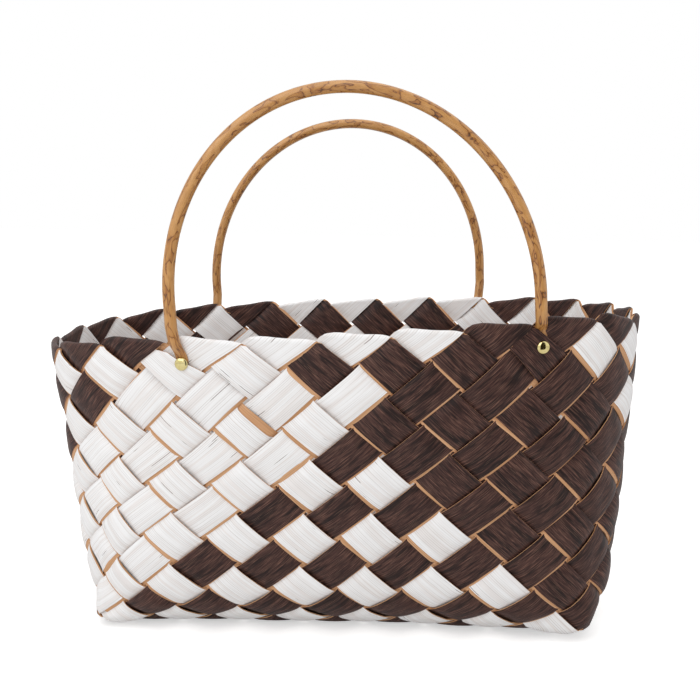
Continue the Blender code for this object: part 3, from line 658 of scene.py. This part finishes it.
def veneerFilm(name, looks):
    # Sliced wood veneer: long fibres, cloudy stain, hairlines at an even step and a few open splits
    material, tree = newMaterial(name)
    place = addNode(tree, "ShaderNodeUVMap", {"uv_map": "UVMap"}).outputs[0]
    parts = addNode(tree, "ShaderNodeSeparateXYZ", None, {0: place}).outputs
    tone = addNode(tree, "ShaderNodeAttribute", {"attribute_name": "tone"}).outputs["Fac"]
    made = {"along": parts[0], "across": parts[1], "tone": tone}

    def grain(key, alongScale, row, detail):
        # Three rows of the recipe: a pattern drawn out along the strip, another one on each strip
        return ((key + "Run", "multiply", {0: "along", 1: alongScale}),
                (key + "Place", "place", {0: key + "Run", 1: row, 2: "layer"}),
                (key, "noise", {"Vector": key + "Place", "Scale": 1.0, "Detail": detail, "Roughness": 0.6}))
    addNodes(tree, made, (
        ("layer", "multiply", {0: "tone", 1: veneer["toneSpread"]}),
        ("fibreRow", "multiply", {0: "across", 1: looks["fibresPerMetre"]}),
        *grain("fibre", looks["fibreLength"], "fibreRow", 3.0),
        ("patchRow", "multiply", {0: "across", 1: looks["patchesPerMetre"]}),
        *grain("patch", looks["patchLength"], "patchRow", 2.0),
        ("patch", "between", {0: "patch", 1: looks["patchFrom"],
                              2: looks["patchFrom"] + veneer["patchSoftness"]}),
        ("patchShare", "multiply", {0: "patch", 1: looks["patchShare"]}),
        # Hairlines: numbered across the strip, each coming and going along it
        ("driftRow", "multiply", {0: "across", 1: veneer["driftsPerMetre"]}),
        *grain("drift", veneer["driftLength"], "driftRow", 1.0),
        ("drift", "multiply", {0: "drift", 1: looks["drift"]}),
        ("lines", "divide", {0: "across", 1: looks["lineStep"]}),
        ("lines", "add", {0: "lines", 1: "drift"}),
        ("lines", "add", {0: "lines", 1: "layer"}),
        ("number", "floor", {0: "lines"}),
        ("fromLine", "subtract", {0: "lines", 1: "number"}),
        ("fromLine", "subtract", {0: "fromLine", 1: 0.5}),
        ("fromLine", "absolute", {0: "fromLine"}),
        ("lineRow", "multiply", {0: "number", 1: veneer["lineSeed"]}),
        *grain("strength", looks["lineLength"], "lineRow", 1.0),
        ("strength", "between", {0: "strength", 1: looks["lineFrom"][0], 2: looks["lineFrom"][1]}),
        ("line", "between", {0: "fromLine", 1: looks["lineWidth"], 2: 0.0}),
        ("line", "multiply", {0: "line", 1: "strength"}),
        ("lineShare", "multiply", {0: "line", 1: looks["lineShare"]}),
        # Open splits, on a few of the same lines
        ("splitRow", "multiply", {0: "number", 1: veneer["splitSeed"]}),
        *grain("opening", looks["splitLength"], "splitRow", 1.0),
        ("opening", "between", {0: "opening", 1: looks["splitFrom"],
                                2: looks["splitFrom"] + veneer["splitSoftness"]}),
        ("split", "between", {0: "fromLine", 1: veneer["splitWidth"][0], 2: veneer["splitWidth"][1]}),
        ("split", "multiply", {0: "split", 1: "opening"}),
        ("lineHeight", "multiply", {0: "line", 1: looks["lineRelief"]}),
        ("height", "subtract", {0: "fibre", 1: "lineHeight"}),
        ("height", "subtract", {0: "height", 1: "split"})))
    colour = addNode(tree, "ShaderNodeValToRGB", {"stops": looks["shades"]}, {0: made["fibre"]}).outputs[0]
    for share, tint in (("patchShare", "patch"), ("lineShare", "line"), ("split", "split")):
        colour = addNode(tree, "ShaderNodeMix", {"data_type": "RGBA"},
                         {0: made[share], 6: colour, 7: toLinear(looks[tint])}).outputs[2]
    bump = addNode(tree, "ShaderNodeBump", None, {"Strength": looks["relief"], "Height": made["height"],
                                                  "Distance": veneer["reliefDepth"]})
    shader = addNode(tree, "ShaderNodeBsdfPrincipled", None,
                     {"Base Color": colour, "Roughness": looks["roughness"], "Normal": bump.outputs[0],
                      "IOR": 1.5, "Specular IOR Level": looks["specular"]})
    addNode(tree, "ShaderNodeOutputMaterial", None, {0: shader.outputs[0]})
    return material


caneLooks = {
    "flames": [(0.0, "#C08C4D"), (0.37, "#B68040"), (0.44, "#9A6028"), (0.455, "#4A2913"),
               (0.472, "#98622A"), (0.5, "#BA8446"), (0.7, "#C69254")],
    "flamesPerMetre": (75, 230, 1),    # marks about 13 mm long and 4 mm wide
    "fibresPerMetre": (150, 2200, 1),  # real fibres are finer; these are as coarse as they need to show
    "fibreShade": (0.86, 1.08),        # how much darker and lighter the fibres are
    "relief": 0.12, "reliefDepth": 0.0002, "roughness": 0.42, "coat": 0.35, "coatRoughness": 0.22,
}


def caneMaterial():
    # Lacquered rattan cane, burnt with flame marks: a thin dark outline that fades to one side, under a
    # thin satin coat that gives long highlights
    looks = caneLooks
    material, tree = newMaterial("flamed_rattan")
    place = addNode(tree, "ShaderNodeUVMap", {"uv_map": "UVMap"}).outputs[0]
    stretched = addNode(tree, "ShaderNodeMapping", None, {"Vector": place, "Scale": looks["flamesPerMetre"]})
    mark = addNode(tree, "ShaderNodeTexNoise", None, {"Vector": stretched.outputs[0], "Scale": 1.0,
                                                      "Detail": 1.5, "Distortion": 0.8})
    burnt = addNode(tree, "ShaderNodeValToRGB", {"stops": looks["flames"]}, {0: mark.outputs[0]})
    fine = addNode(tree, "ShaderNodeMapping", None, {"Vector": place, "Scale": looks["fibresPerMetre"]})
    fibre = addNode(tree, "ShaderNodeTexNoise", None,
                    {"Vector": fine.outputs[0], "Scale": 1.0, "Detail": 2.0}).outputs[0]
    darkest, lightest = looks["fibreShade"]
    shade = addNode(tree, "ShaderNodeMapRange", None, {0: fibre, 1: 0.3, 2: 0.7, 3: darkest, 4: lightest})
    colour = addNode(tree, "ShaderNodeVectorMath", {"operation": "SCALE"},
                     {0: burnt.outputs[0], "Scale": shade.outputs[0]})
    bump = addNode(tree, "ShaderNodeBump", None,
                   {"Strength": looks["relief"], "Distance": looks["reliefDepth"], "Height": fibre})
    shader = addNode(tree, "ShaderNodeBsdfPrincipled", None,
                     {"Base Color": colour.outputs[0], "Roughness": looks["roughness"],
                      "Normal": bump.outputs[0], "Coat Weight": looks["coat"],
                      "Coat Roughness": looks["coatRoughness"]})
    addNode(tree, "ShaderNodeOutputMaterial", None, {0: shader.outputs[0]})
    return material


brassLooks = {"shades": [(0.3, "#D5C486"), (0.7, "#E2D59C")], "roughness": (0.08, 0.18),
              "marksPerMetre": 500.0}  # handling marks about 2 mm across


def brassMaterial():
    # Polished pale brass: mirrors the room, a little softer where it was handled
    looks = brassLooks
    material, tree = newMaterial("polished_pale_brass")
    place = addNode(tree, "ShaderNodeTexCoord").outputs["Object"]
    marks = addNode(tree, "ShaderNodeTexNoise", None,
                    {"Vector": place, "Scale": looks["marksPerMetre"], "Detail": 2.0}).outputs[0]
    colour = addNode(tree, "ShaderNodeValToRGB", {"stops": looks["shades"]}, {0: marks})
    smoothest, roughest = looks["roughness"]
    rough = addNode(tree, "ShaderNodeMapRange", None, {0: marks, 3: smoothest, 4: roughest})
    shader = addNode(tree, "ShaderNodeBsdfPrincipled", None,
                     {"Base Color": colour.outputs[0], "Metallic": 1.0, "Roughness": rough.outputs[0]})
    addNode(tree, "ShaderNodeOutputMaterial", None, {0: shader.outputs[0]})
    return material


# Real wood fibres are about 0.1 mm apart; they are drawn 0.5 to 0.7 mm apart, as coarse as they need to be
# to show, and the hairlines 1.0 to 1.35 mm apart. A "Length" is how often a pattern changes in a metre along
# the strip.
# Bleached veneer: a nearly even white with a soft sheen and fine grey hairlines
whiteFilm = veneerFilm("bleached_wood_veneer", {
    "shades": [(0.30, "#E4E2E1"), (0.45, "#EDECEC"), (0.60, "#F1F1F2"), (0.80, "#F3F4F5")],
    "fibreLength": 20, "fibresPerMetre": 1500, "patch": "#DFD6D1", "patchShare": 0.4, "patchLength": 9,
    "patchesPerMetre": 260, "patchFrom": 0.48, "drift": 1.4, "lineStep": 0.00135, "lineLength": 16,
    "lineFrom": (0.36, 0.66), "lineWidth": 0.27, "line": "#B3ABA5", "lineShare": 0.5, "lineRelief": 0.35,
    "splitLength": 30, "splitFrom": 0.7, "split": "#6B5C52", "relief": 0.25, "roughness": 0.62,
    "specular": 0.3})
# Stained veneer: dark brown, lighter along the fibres that took less stain
brownFilm = veneerFilm("stained_wood_veneer", {
    "shades": [(0.32, "#1E100F"), (0.45, "#36221F"), (0.56, "#4C322C"), (0.70, "#785649")],
    "fibreLength": 80, "fibresPerMetre": 2100, "patch": "#170D0D", "patchShare": 0.75, "patchLength": 28,
    "patchesPerMetre": 240, "patchFrom": 0.50, "drift": 3.0, "lineStep": 0.0010, "lineLength": 85,
    "lineFrom": (0.5, 0.68), "lineWidth": 0.25, "line": "#92705F", "lineShare": 0.4, "lineRelief": -0.5,
    "splitLength": 60, "splitFrom": 0.66, "split": "#0B0505", "relief": 0.5, "roughness": 0.5,
    "specular": 0.24})
# The unstained back of the same veneer: pale tan with darker lines
tanBack = veneerFilm("natural_wood_backing", {
    "shades": [(0.30, "#B7875D"), (0.45, "#C99A71"), (0.60, "#D3A57E"), (0.80, "#DDB592")],
    "fibreLength": 20, "fibresPerMetre": 1400, "patch": "#A8754A", "patchShare": 0.4, "patchLength": 12,
    "patchesPerMetre": 300, "patchFrom": 0.5, "drift": 3.0, "lineStep": 0.0013, "lineLength": 18,
    "lineFrom": (0.45, 0.7), "lineWidth": 0.25, "line": "#8E5F39", "lineShare": 0.5, "lineRelief": 0.5,
    "splitLength": 30, "splitFrom": 0.72, "split": "#5B3A20", "relief": 0.35, "roughness": 0.6,
    "specular": 0.25})
cane = caneMaterial()
brass = brassMaterial()
print("finishes made")


def weaveStrips():
    trees = {"white": plaitTree(whiteFilm, tanBack), "brown": plaitTree(brownFilm, tanBack)}
    for number, (name, (family, fold)) in enumerate(strips.items()):
        colour = name.split("_")[0]
        flat = addObject(name + "_flat", stripMesh(name + "_flat", family, fold))
        piece = applyTree(name + "_woven", flat, trees[colour], {
            "Layer Step": weave["layerStep"], "Puff Height": weave["puffHeight"],
            "Thickness": weave["thickness"], "Edge Gap": weave["edgeGap"][colour],
            "Edge Wobble": weave["edgeWobble"], "Tail Slip": weave["tailSlip"],
            "Wander": weave["wander"], "Seed": 3.7 * number})
        mesh = piece.data
        mesh.polygons.foreach_set("use_smooth", [True] * len(mesh.polygons))
        mesh.set_sharp_from_angle(angle=math.radians(50))
        for key in plaitData["FLOAT_VECTOR"] + plaitData["FLOAT"]:
            mesh.attributes.remove(mesh.attributes[key])
        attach(piece, "basket")
        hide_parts(name)


weaveStrips()
print("strips woven")


handle = {  # in metres
    "radius": 0.004, "rise": 0.159, "neckRise": 0.012,
    "lean": 2.0,          # degrees that the bow leans inwards
    "skew": 0.034,        # how far its top leans to the left, as a share of its height
    "leg": 0.012,         # the straight cane above each neck
    "footWidth": 0.0086, "rivetShift": 0.0055, "rivetRise": 0.0068,
    "neckShift": {"front": -0.0005, "back": 0.0025},
    "seatSpan": 0.951,    # the share of a diamond that a handle's seat takes
    "bendReach": 0.006,   # the cane bends over this length below and above its neck
    "tipWidth": 0.0002,
    "sides": 20, "footSteps": 44, "legSteps": 5, "arcSteps": 110,
    # By the fold of the seat, the two at the back alike. From the tip up: height above the seat, half
    # thickness, how far out, how far over towards the rivet
    "feet": {2: ((-0.0055, 0.001, 0.0006, 1), (0.006, 0.001, 0.0006, 1), (0.0095, 0.0011, 0.0008, 0.98),
                 (0.0135, 0.0018, 0.0014, 0.80), (0.0175, 0.0036, 0.0038, 0.56),
                 (0.0215, 0.004, 0.0056, 0.36), (0.0325, 0.004, 0.00625, 0)),
             7: ((-0.0055, 0.001, 0.0006, 1), (0.0115, 0.001, 0.0006, 0.9), (0.015, 0.0008, 0, 0.8),
                 (0.0185, 0.0008, -0.0006, 0.7), (0.0205, 0.0022, 0.0014, 0.6), (0.023, 0.0036, 0.0042, 0.4),
                 (0.0325, 0.004, 0.00625, 0)),
             14: ((-0.0055, 0.001, 0.0006, 1), (0.0075, 0.001, 0.0006, 1), (0.0115, 0.0012, 0.0008, 0.9),
                  (0.0155, 0.0026, 0.0024, 0.5), (0.0195, 0.004, 0.005, 0.1), (0.0325, 0.004, 0.00625, 0))},
}


def seatFrame(fold):
    # A handle's seat as the frame has it, moved only in or out with the uneven wall
    half = handle["seatSpan"] / 2
    top, bottom, left, right = (Vector(wallAt(np.array(fold + 0.5 + ds), np.array(0.5 + dv), False))
                                for ds, dv in ((0, -half), (0, half), (-half, 0), (half, 0)))
    up = (top - bottom).normalized()
    outward = (right - left).cross(up).normalized()
    moved = Vector(unevenness(np.array(fold + 0.5), np.array(0.5)))
    seat = (top + bottom + left + right) / 4 + outward * outward.dot(moved)
    return seat, up.cross(outward), up, outward


def footStations(fold, side):
    # From the foot's hidden tip up to the neck: place, half width, half thickness and their directions
    h = handle
    seat, along, up, outward = seatFrame(fold)
    shift = h["neckShift"][side]
    keys = np.array(h["feet"].get(fold, h["feet"][14]))
    heights = np.linspace(keys[0, 0], keys[-1, 0], h["footSteps"])
    thick, lift, over = (np.interp(heights, keys[:, 0], keys[:, k]) for k in (1, 2, 3))
    kernel = np.array([1, 2, 3, 2, 1]) / 9
    thick, lift, over = (np.convolve(np.pad(row, 2, mode="edge"), kernel, "valid")
                         for row in (thick, lift, over))
    stations = []
    for angle in (90, 72, 54, 36, 18):
        turn = math.radians(angle)
        reach = h["footWidth"] / 2
        height = heights[0] - reach * math.sin(turn)
        place = seat + along * h["rivetShift"] + up * height + outward * lift[0]
        stations.append((place, max(h["tipWidth"], reach * math.cos(turn)), thick[0], along, outward))
    for height, halfThick, out, overness in zip(heights, thick, lift, over):
        wider = (h["radius"] - halfThick) / (h["radius"] - keys[0, 1])
        halfWide = h["radius"] + (h["footWidth"] / 2 - h["radius"]) * wider
        place = seat + along * (shift + (h["rivetShift"] - shift) * overness) + up * height + outward * out
        stations.append((place, halfWide, halfThick, along, outward))
    return stations


def bowStations(left, right):
    # The bow between the necks: two short straight legs and half an ellipse that leans inwards
    h = handle
    along = (right - left).normalized()
    half = (right - left).length / 2
    upright = (Vector((0, 0, 1)) - along * along.z).normalized()
    inward = Vector((0, -left.y, 0)).normalized()
    lean = math.radians(h["lean"])
    up = upright * math.cos(lean) + inward * math.sin(lean)
    top = (up - along * h["skew"]) * (h["rise"] - h["neckRise"] - h["leg"])
    middle = (left + right) / 2 + up * h["leg"]
    forward = up.cross(along).normalized()
    stations = []
    for k in range(1, h["legSteps"]):
        stations.append((left + up * h["leg"] * k / h["legSteps"], up))
    for k in range(h["arcSteps"] + 1):
        angle = math.pi * k / h["arcSteps"]
        place = middle - along * half * math.cos(angle) + top * math.sin(angle)
        stations.append((place, (along * half * math.sin(angle) + top * math.cos(angle)).normalized()))
    for k in range(h["legSteps"] - 1, 0, -1):
        stations.append((right + up * h["leg"] * k / h["legSteps"], -up))
    return [(place, h["radius"], h["radius"], -way.cross(forward), -forward) for place, way in stations]


def loftTube(name, stations, sides, material):
    # Skins the rings of a tube and lays a UV map of its length and girth in metres
    centres = np.array([tuple(station[0]) for station in stations])
    length = np.concatenate([[0], np.cumsum(np.linalg.norm(np.diff(centres, axis=0), axis=1))])
    points = []
    for place, wide, thick, widthWay, thickWay in stations:
        for k in range(sides):
            turn = 2 * math.pi * k / sides
            points.append(place + widthWay * wide * math.cos(turn) + thickWay * thick * math.sin(turn))
    faces = []
    for row in range(len(stations) - 1):
        for k in range(sides):
            n = (k + 1) % sides
            faces.append((row * sides + k, row * sides + n, (row + 1) * sides + n, (row + 1) * sides + k))
    faces.append(tuple(reversed(range(sides))))
    faces.append(tuple((len(stations) - 1) * sides + k for k in range(sides)))
    mesh = bpy.data.meshes.new(name)
    mesh.from_pydata([tuple(p) for p in points], [], faces)
    uv = mesh.uv_layers.new(name="UVMap")
    for face in mesh.polygons:
        face.use_smooth = True
        for corner, loop in zip(face.vertices, face.loop_indices):
            side = corner % sides
            if side == 0 and any(v % sides == sides - 1 for v in face.vertices) and len(face.vertices) == 4:
                side = sides
            uv.data[loop].uv = (length[corner // sides], side / sides * 2 * math.pi * handle["radius"])
    mesh.materials.append(material)
    return addObject(name, mesh)


def makeHandle(side, leftFold, rightFold):
    # One unbroken cane from foot to foot, which bends at its necks as the handle tilts
    leftFoot = footStations(leftFold, side)
    rightFoot = footStations(rightFold, side)
    left, right = leftFoot[-1][0], rightFoot[-1][0]
    turned = [(place, wide, thick, -widthWay, thickWay)
              for place, wide, thick, widthWay, thickWay in reversed(rightFoot)]
    stations = leftFoot + bowStations(left, right) + turned
    piece = loftTube(side + "_cane_handle", stations, handle["sides"], cane)
    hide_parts(side + "_handle_bow", "handle_end_" + side + "_left", "handle_end_" + side + "_right")
    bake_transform(piece)


makeHandle("front", 2, 7)
makeHandle("back", 14, 19)
print("handles bent")


# Lifts are from the seat outwards: to the cap's flat face and to the washer's outer face
rivet = {"capRadius": 0.0045, "capHeight": 0.0025, "capRim": 0.0005, "capLip": 0.0004, "faceLift": 0.0026,
         "shankRadius": 0.0015, "backLift": 0.0009, "tailRadius": 0.0024, "tailThick": 0.0003,
         "washerRadius": 0.0042, "washerThick": 0.0005, "sides": 32}


def turnedMesh(name, profile, sides):
    # Turns a profile of (radius, height) round Z; a radius of zero closes it
    points, rings, faces = [], [], []
    for radius, height in profile:
        if radius == 0:
            rings.append([len(points)] * sides)
            points.append((0, 0, height))
        else:
            rings.append(list(range(len(points), len(points) + sides)))
            for k in range(sides):
                turn = 2 * math.pi * k / sides
                points.append((radius * math.cos(turn), radius * math.sin(turn), height))
    for low, high in zip(rings, rings[1:]):
        for k in range(sides):
            n = (k + 1) % sides
            corners = [low[k], low[n], high[n], high[k]]
            faces.append([c for i, c in enumerate(corners) if c not in corners[:i]])
    mesh = bpy.data.meshes.new(name)
    mesh.from_pydata(points, [], faces)
    mesh.polygons.foreach_set("use_smooth", [True] * len(mesh.polygons))
    mesh.set_sharp_from_angle(angle=math.radians(40))
    return mesh


def rivetTree(pattern):
    # Sets a copy of the pattern at each seat, turned to face outwards
    tree = bpy.data.node_groups.new("rivets", "GeometryNodeTree")
    tree.interface.new_socket("Seats", in_out="INPUT", socket_type="NodeSocketGeometry")
    tree.interface.new_socket("Size", in_out="INPUT", socket_type="NodeSocketFloat")
    tree.interface.new_socket("Finish", in_out="INPUT", socket_type="NodeSocketMaterial")
    tree.interface.new_socket("Rivets", in_out="OUTPUT", socket_type="NodeSocketGeometry")
    given = addNode(tree, "NodeGroupInput").outputs
    shape = addNode(tree, "GeometryNodeObjectInfo", None, {"Object": pattern})
    outward = addNode(tree, "GeometryNodeInputNamedAttribute", {"data_type": "FLOAT_VECTOR"}, {0: "outward"})
    turned = addNode(tree, "FunctionNodeAlignRotationToVector", {"axis": "Z"},
                     {"Vector": outward.outputs[0]})
    placed = addNode(tree, "GeometryNodeInstanceOnPoints", None,
                     {"Points": given["Seats"], "Instance": shape.outputs["Geometry"],
                      "Rotation": turned.outputs[0], "Scale": given["Size"]})
    single = addNode(tree, "GeometryNodeRealizeInstances", None, {0: placed.outputs[0]})
    finished = addNode(tree, "GeometryNodeSetMaterial", None,
                       {"Geometry": single.outputs[0], "Material": given["Finish"]})
    addNode(tree, "NodeGroupOutput", None, {0: finished.outputs[0]})
    return tree


def makeRivets():
    # Domed cap, shank, washer and hammered tail in one turned profile, from the tail outwards
    r = rivet
    washerBack = r["backLift"] - r["washerThick"]
    tail = washerBack - r["tailThick"]
    lip = r["faceLift"] - r["capLip"]
    profile = [(0, tail), (r["tailRadius"] * 0.8, tail),
               (r["tailRadius"], washerBack - r["tailThick"] * 0.6), (r["tailRadius"], washerBack),
               (r["washerRadius"], washerBack), (r["washerRadius"], r["backLift"]),
               (r["shankRadius"], r["backLift"]), (r["shankRadius"], lip),
               (r["capRadius"] * 0.95, lip), (r["capRadius"], r["faceLift"])]
    for a in np.radians([0, 12, 24, 36, 48, 60, 72, 82]):
        height = r["faceLift"] + r["capRim"] + (r["capHeight"] - r["capRim"]) * math.sin(a)
        profile.append((r["capRadius"] * math.cos(a), height))
    profile.append((0, r["faceLift"] + r["capHeight"]))
    pattern = addObject("rivet_pattern", turnedMesh("rivet_pattern", profile, r["sides"]))
    seats, ways = [], []
    for fold in seatFolds:
        seat, along, up, outward = seatFrame(fold)
        seats.append(tuple(seat + along * handle["rivetShift"] + up * handle["rivetRise"]))
        ways.append(tuple(outward))
    mesh = bpy.data.meshes.new("rivet_seats")
    mesh.from_pydata(seats, [], [])
    addAttribute(mesh, "outward", "FLOAT_VECTOR", np.array(ways))
    piece = applyTree("brass_rivets", addObject("rivet_seats", mesh), rivetTree(pattern),
                      {"Size": 1.0, "Finish": brass})
    bpy.data.objects.remove(pattern)
    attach(piece, "basket")
    places = ("front_left", "front_right", "back_right", "back_left")
    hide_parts(*["rivet_" + c for c in places], *["washer_" + c for c in places])


makeRivets()
print("rivets set")


studio = {
    "floorSize": 24.0, "floorColour": "#EDECEB", "floorGlow": 0.5, "skyStrength": 0.74,
    "flag": (0.08, 0.5, -0.5, 1.2), "flagColour": "#3A3428",  # left, right, how far forward, how tall
    "lamps": {"key_lamp": ((-0.7, -1.1, 1.5), 14.5), "top_lamp": ((0.3, 0.2, 1.9), 5.8)},  # place and power
    "lampSize": 1.8, "lampAim": (0, 0, 0.1),
}


def makeFloor():
    # Pale and matt; the camera sees it a little brighter, with the object's shadow still on it
    mesh = bpy.data.meshes.new("floor")
    far = studio["floorSize"] / 2
    mesh.from_pydata([(-far, -far, 0), (far, -far, 0), (far, far, 0), (-far, far, 0)], [], [(0, 1, 2, 3)])
    floor = addObject("floor", mesh)
    material, tree = newMaterial("pale_floor")
    path = addNode(tree, "ShaderNodeLightPath")
    glow = addNode(tree, "ShaderNodeMath", {"operation": "MULTIPLY"},
                   {0: path.outputs["Is Camera Ray"], 1: studio["floorGlow"]})
    shader = addNode(tree, "ShaderNodeBsdfPrincipled", None,
                     {"Base Color": toLinear(studio["floorColour"]), "Roughness": 0.9,
                      "Specular IOR Level": 0.0, "Emission Color": (1, 1, 1, 1),
                      "Emission Strength": glow.outputs[0]})
    addNode(tree, "ShaderNodeOutputMaterial", None, {0: shader.outputs[0]})
    mesh.materials.append(material)


def makeWorld():
    # Even light all round, white where the camera, gloss or glass looks at it
    world = bpy.data.worlds.new("studio")
    bpy.context.scene.world = world
    world.use_nodes = True
    tree = world.node_tree
    tree.nodes.clear()
    path = addNode(tree, "ShaderNodeLightPath")
    seen = addNode(tree, "ShaderNodeMath", {"operation": "MAXIMUM"},
                   {0: path.outputs["Is Camera Ray"], 1: path.outputs["Is Glossy Ray"]})
    seen = addNode(tree, "ShaderNodeMath", {"operation": "MAXIMUM"},
                   {0: seen.outputs[0], 1: path.outputs["Is Transmission Ray"]})
    strength = addNode(tree, "ShaderNodeMix", {"data_type": "FLOAT"},
                       {0: seen.outputs[0], 2: studio["skyStrength"], 3: 1.0})
    sky = addNode(tree, "ShaderNodeBackground", None,
                  {"Color": (1, 1, 1, 1), "Strength": strength.outputs[0]})
    addNode(tree, "ShaderNodeOutputWorld", None, {0: sky.outputs[0]})


def makeFlag():
    # A dark brown flag in front of the basket, which only its polished metal shows
    mesh = bpy.data.meshes.new("flag")
    left, right, near, tall = studio["flag"]
    mesh.from_pydata([(left, near, 0), (left, near, tall), (right, near, tall), (right, near, 0)], [],
                     [(0, 1, 2, 3)])
    flag = addObject("flag", mesh)
    material, tree = newMaterial("dark_brown_velvet")
    shader = addNode(tree, "ShaderNodeBsdfDiffuse", None, {"Color": toLinear(studio["flagColour"])})
    addNode(tree, "ShaderNodeOutputMaterial", None, {0: shader.outputs[0]})
    mesh.materials.append(material)
    for ray in ("camera", "diffuse", "transmission", "volume_scatter", "shadow"):
        setattr(flag, "visible_" + ray, False)


def makeLamps():
    for name, (place, power) in studio["lamps"].items():
        lamp = bpy.data.lights.new(name, "AREA")
        lamp.energy = power
        lamp.size = studio["lampSize"]
        item = addObject(name, lamp)
        item.location = place
        aim = Vector(studio["lampAim"]) - Vector(place)
        item.rotation_euler = aim.to_track_quat("-Z", "Y").to_euler()


# Where the photograph was taken from, fitted to the weave's corners, the handles and the rivets
view = {"place": (0.0034, -0.6697, 0.3055), "yaw": 0.0067, "pitch": 0.1565, "roll": 0.0214,  # radians
        "focalPixels": 852.85, "framePixels": 700, "sensor": 36}


def makeCamera():
    yaw, pitch, roll = view["yaw"], view["pitch"], view["roll"]
    right = Vector((math.cos(yaw), math.sin(yaw), 0))
    forward = Vector((-math.sin(yaw) * math.cos(pitch), math.cos(yaw) * math.cos(pitch), -math.sin(pitch)))
    up = right.cross(forward)
    acrossWay = right * math.cos(roll) + up * math.sin(roll)
    upWay = up * math.cos(roll) - right * math.sin(roll)
    turn = Matrix((acrossWay, upWay, -forward)).transposed()
    lens = bpy.data.cameras.new("camera")
    lens.sensor_width = view["sensor"]
    lens.lens = view["focalPixels"] * view["sensor"] / view["framePixels"]
    lens.clip_start = 0.01
    camera = addObject("camera", lens)
    camera.matrix_world = Matrix.Translation(view["place"]) @ turn.to_4x4()
    bpy.context.scene.camera = camera


makeFloor()
makeWorld()
makeFlag()
makeLamps()
makeCamera()
print("studio lit")
bpy.context.scene.view_settings.view_transform = "Standard"
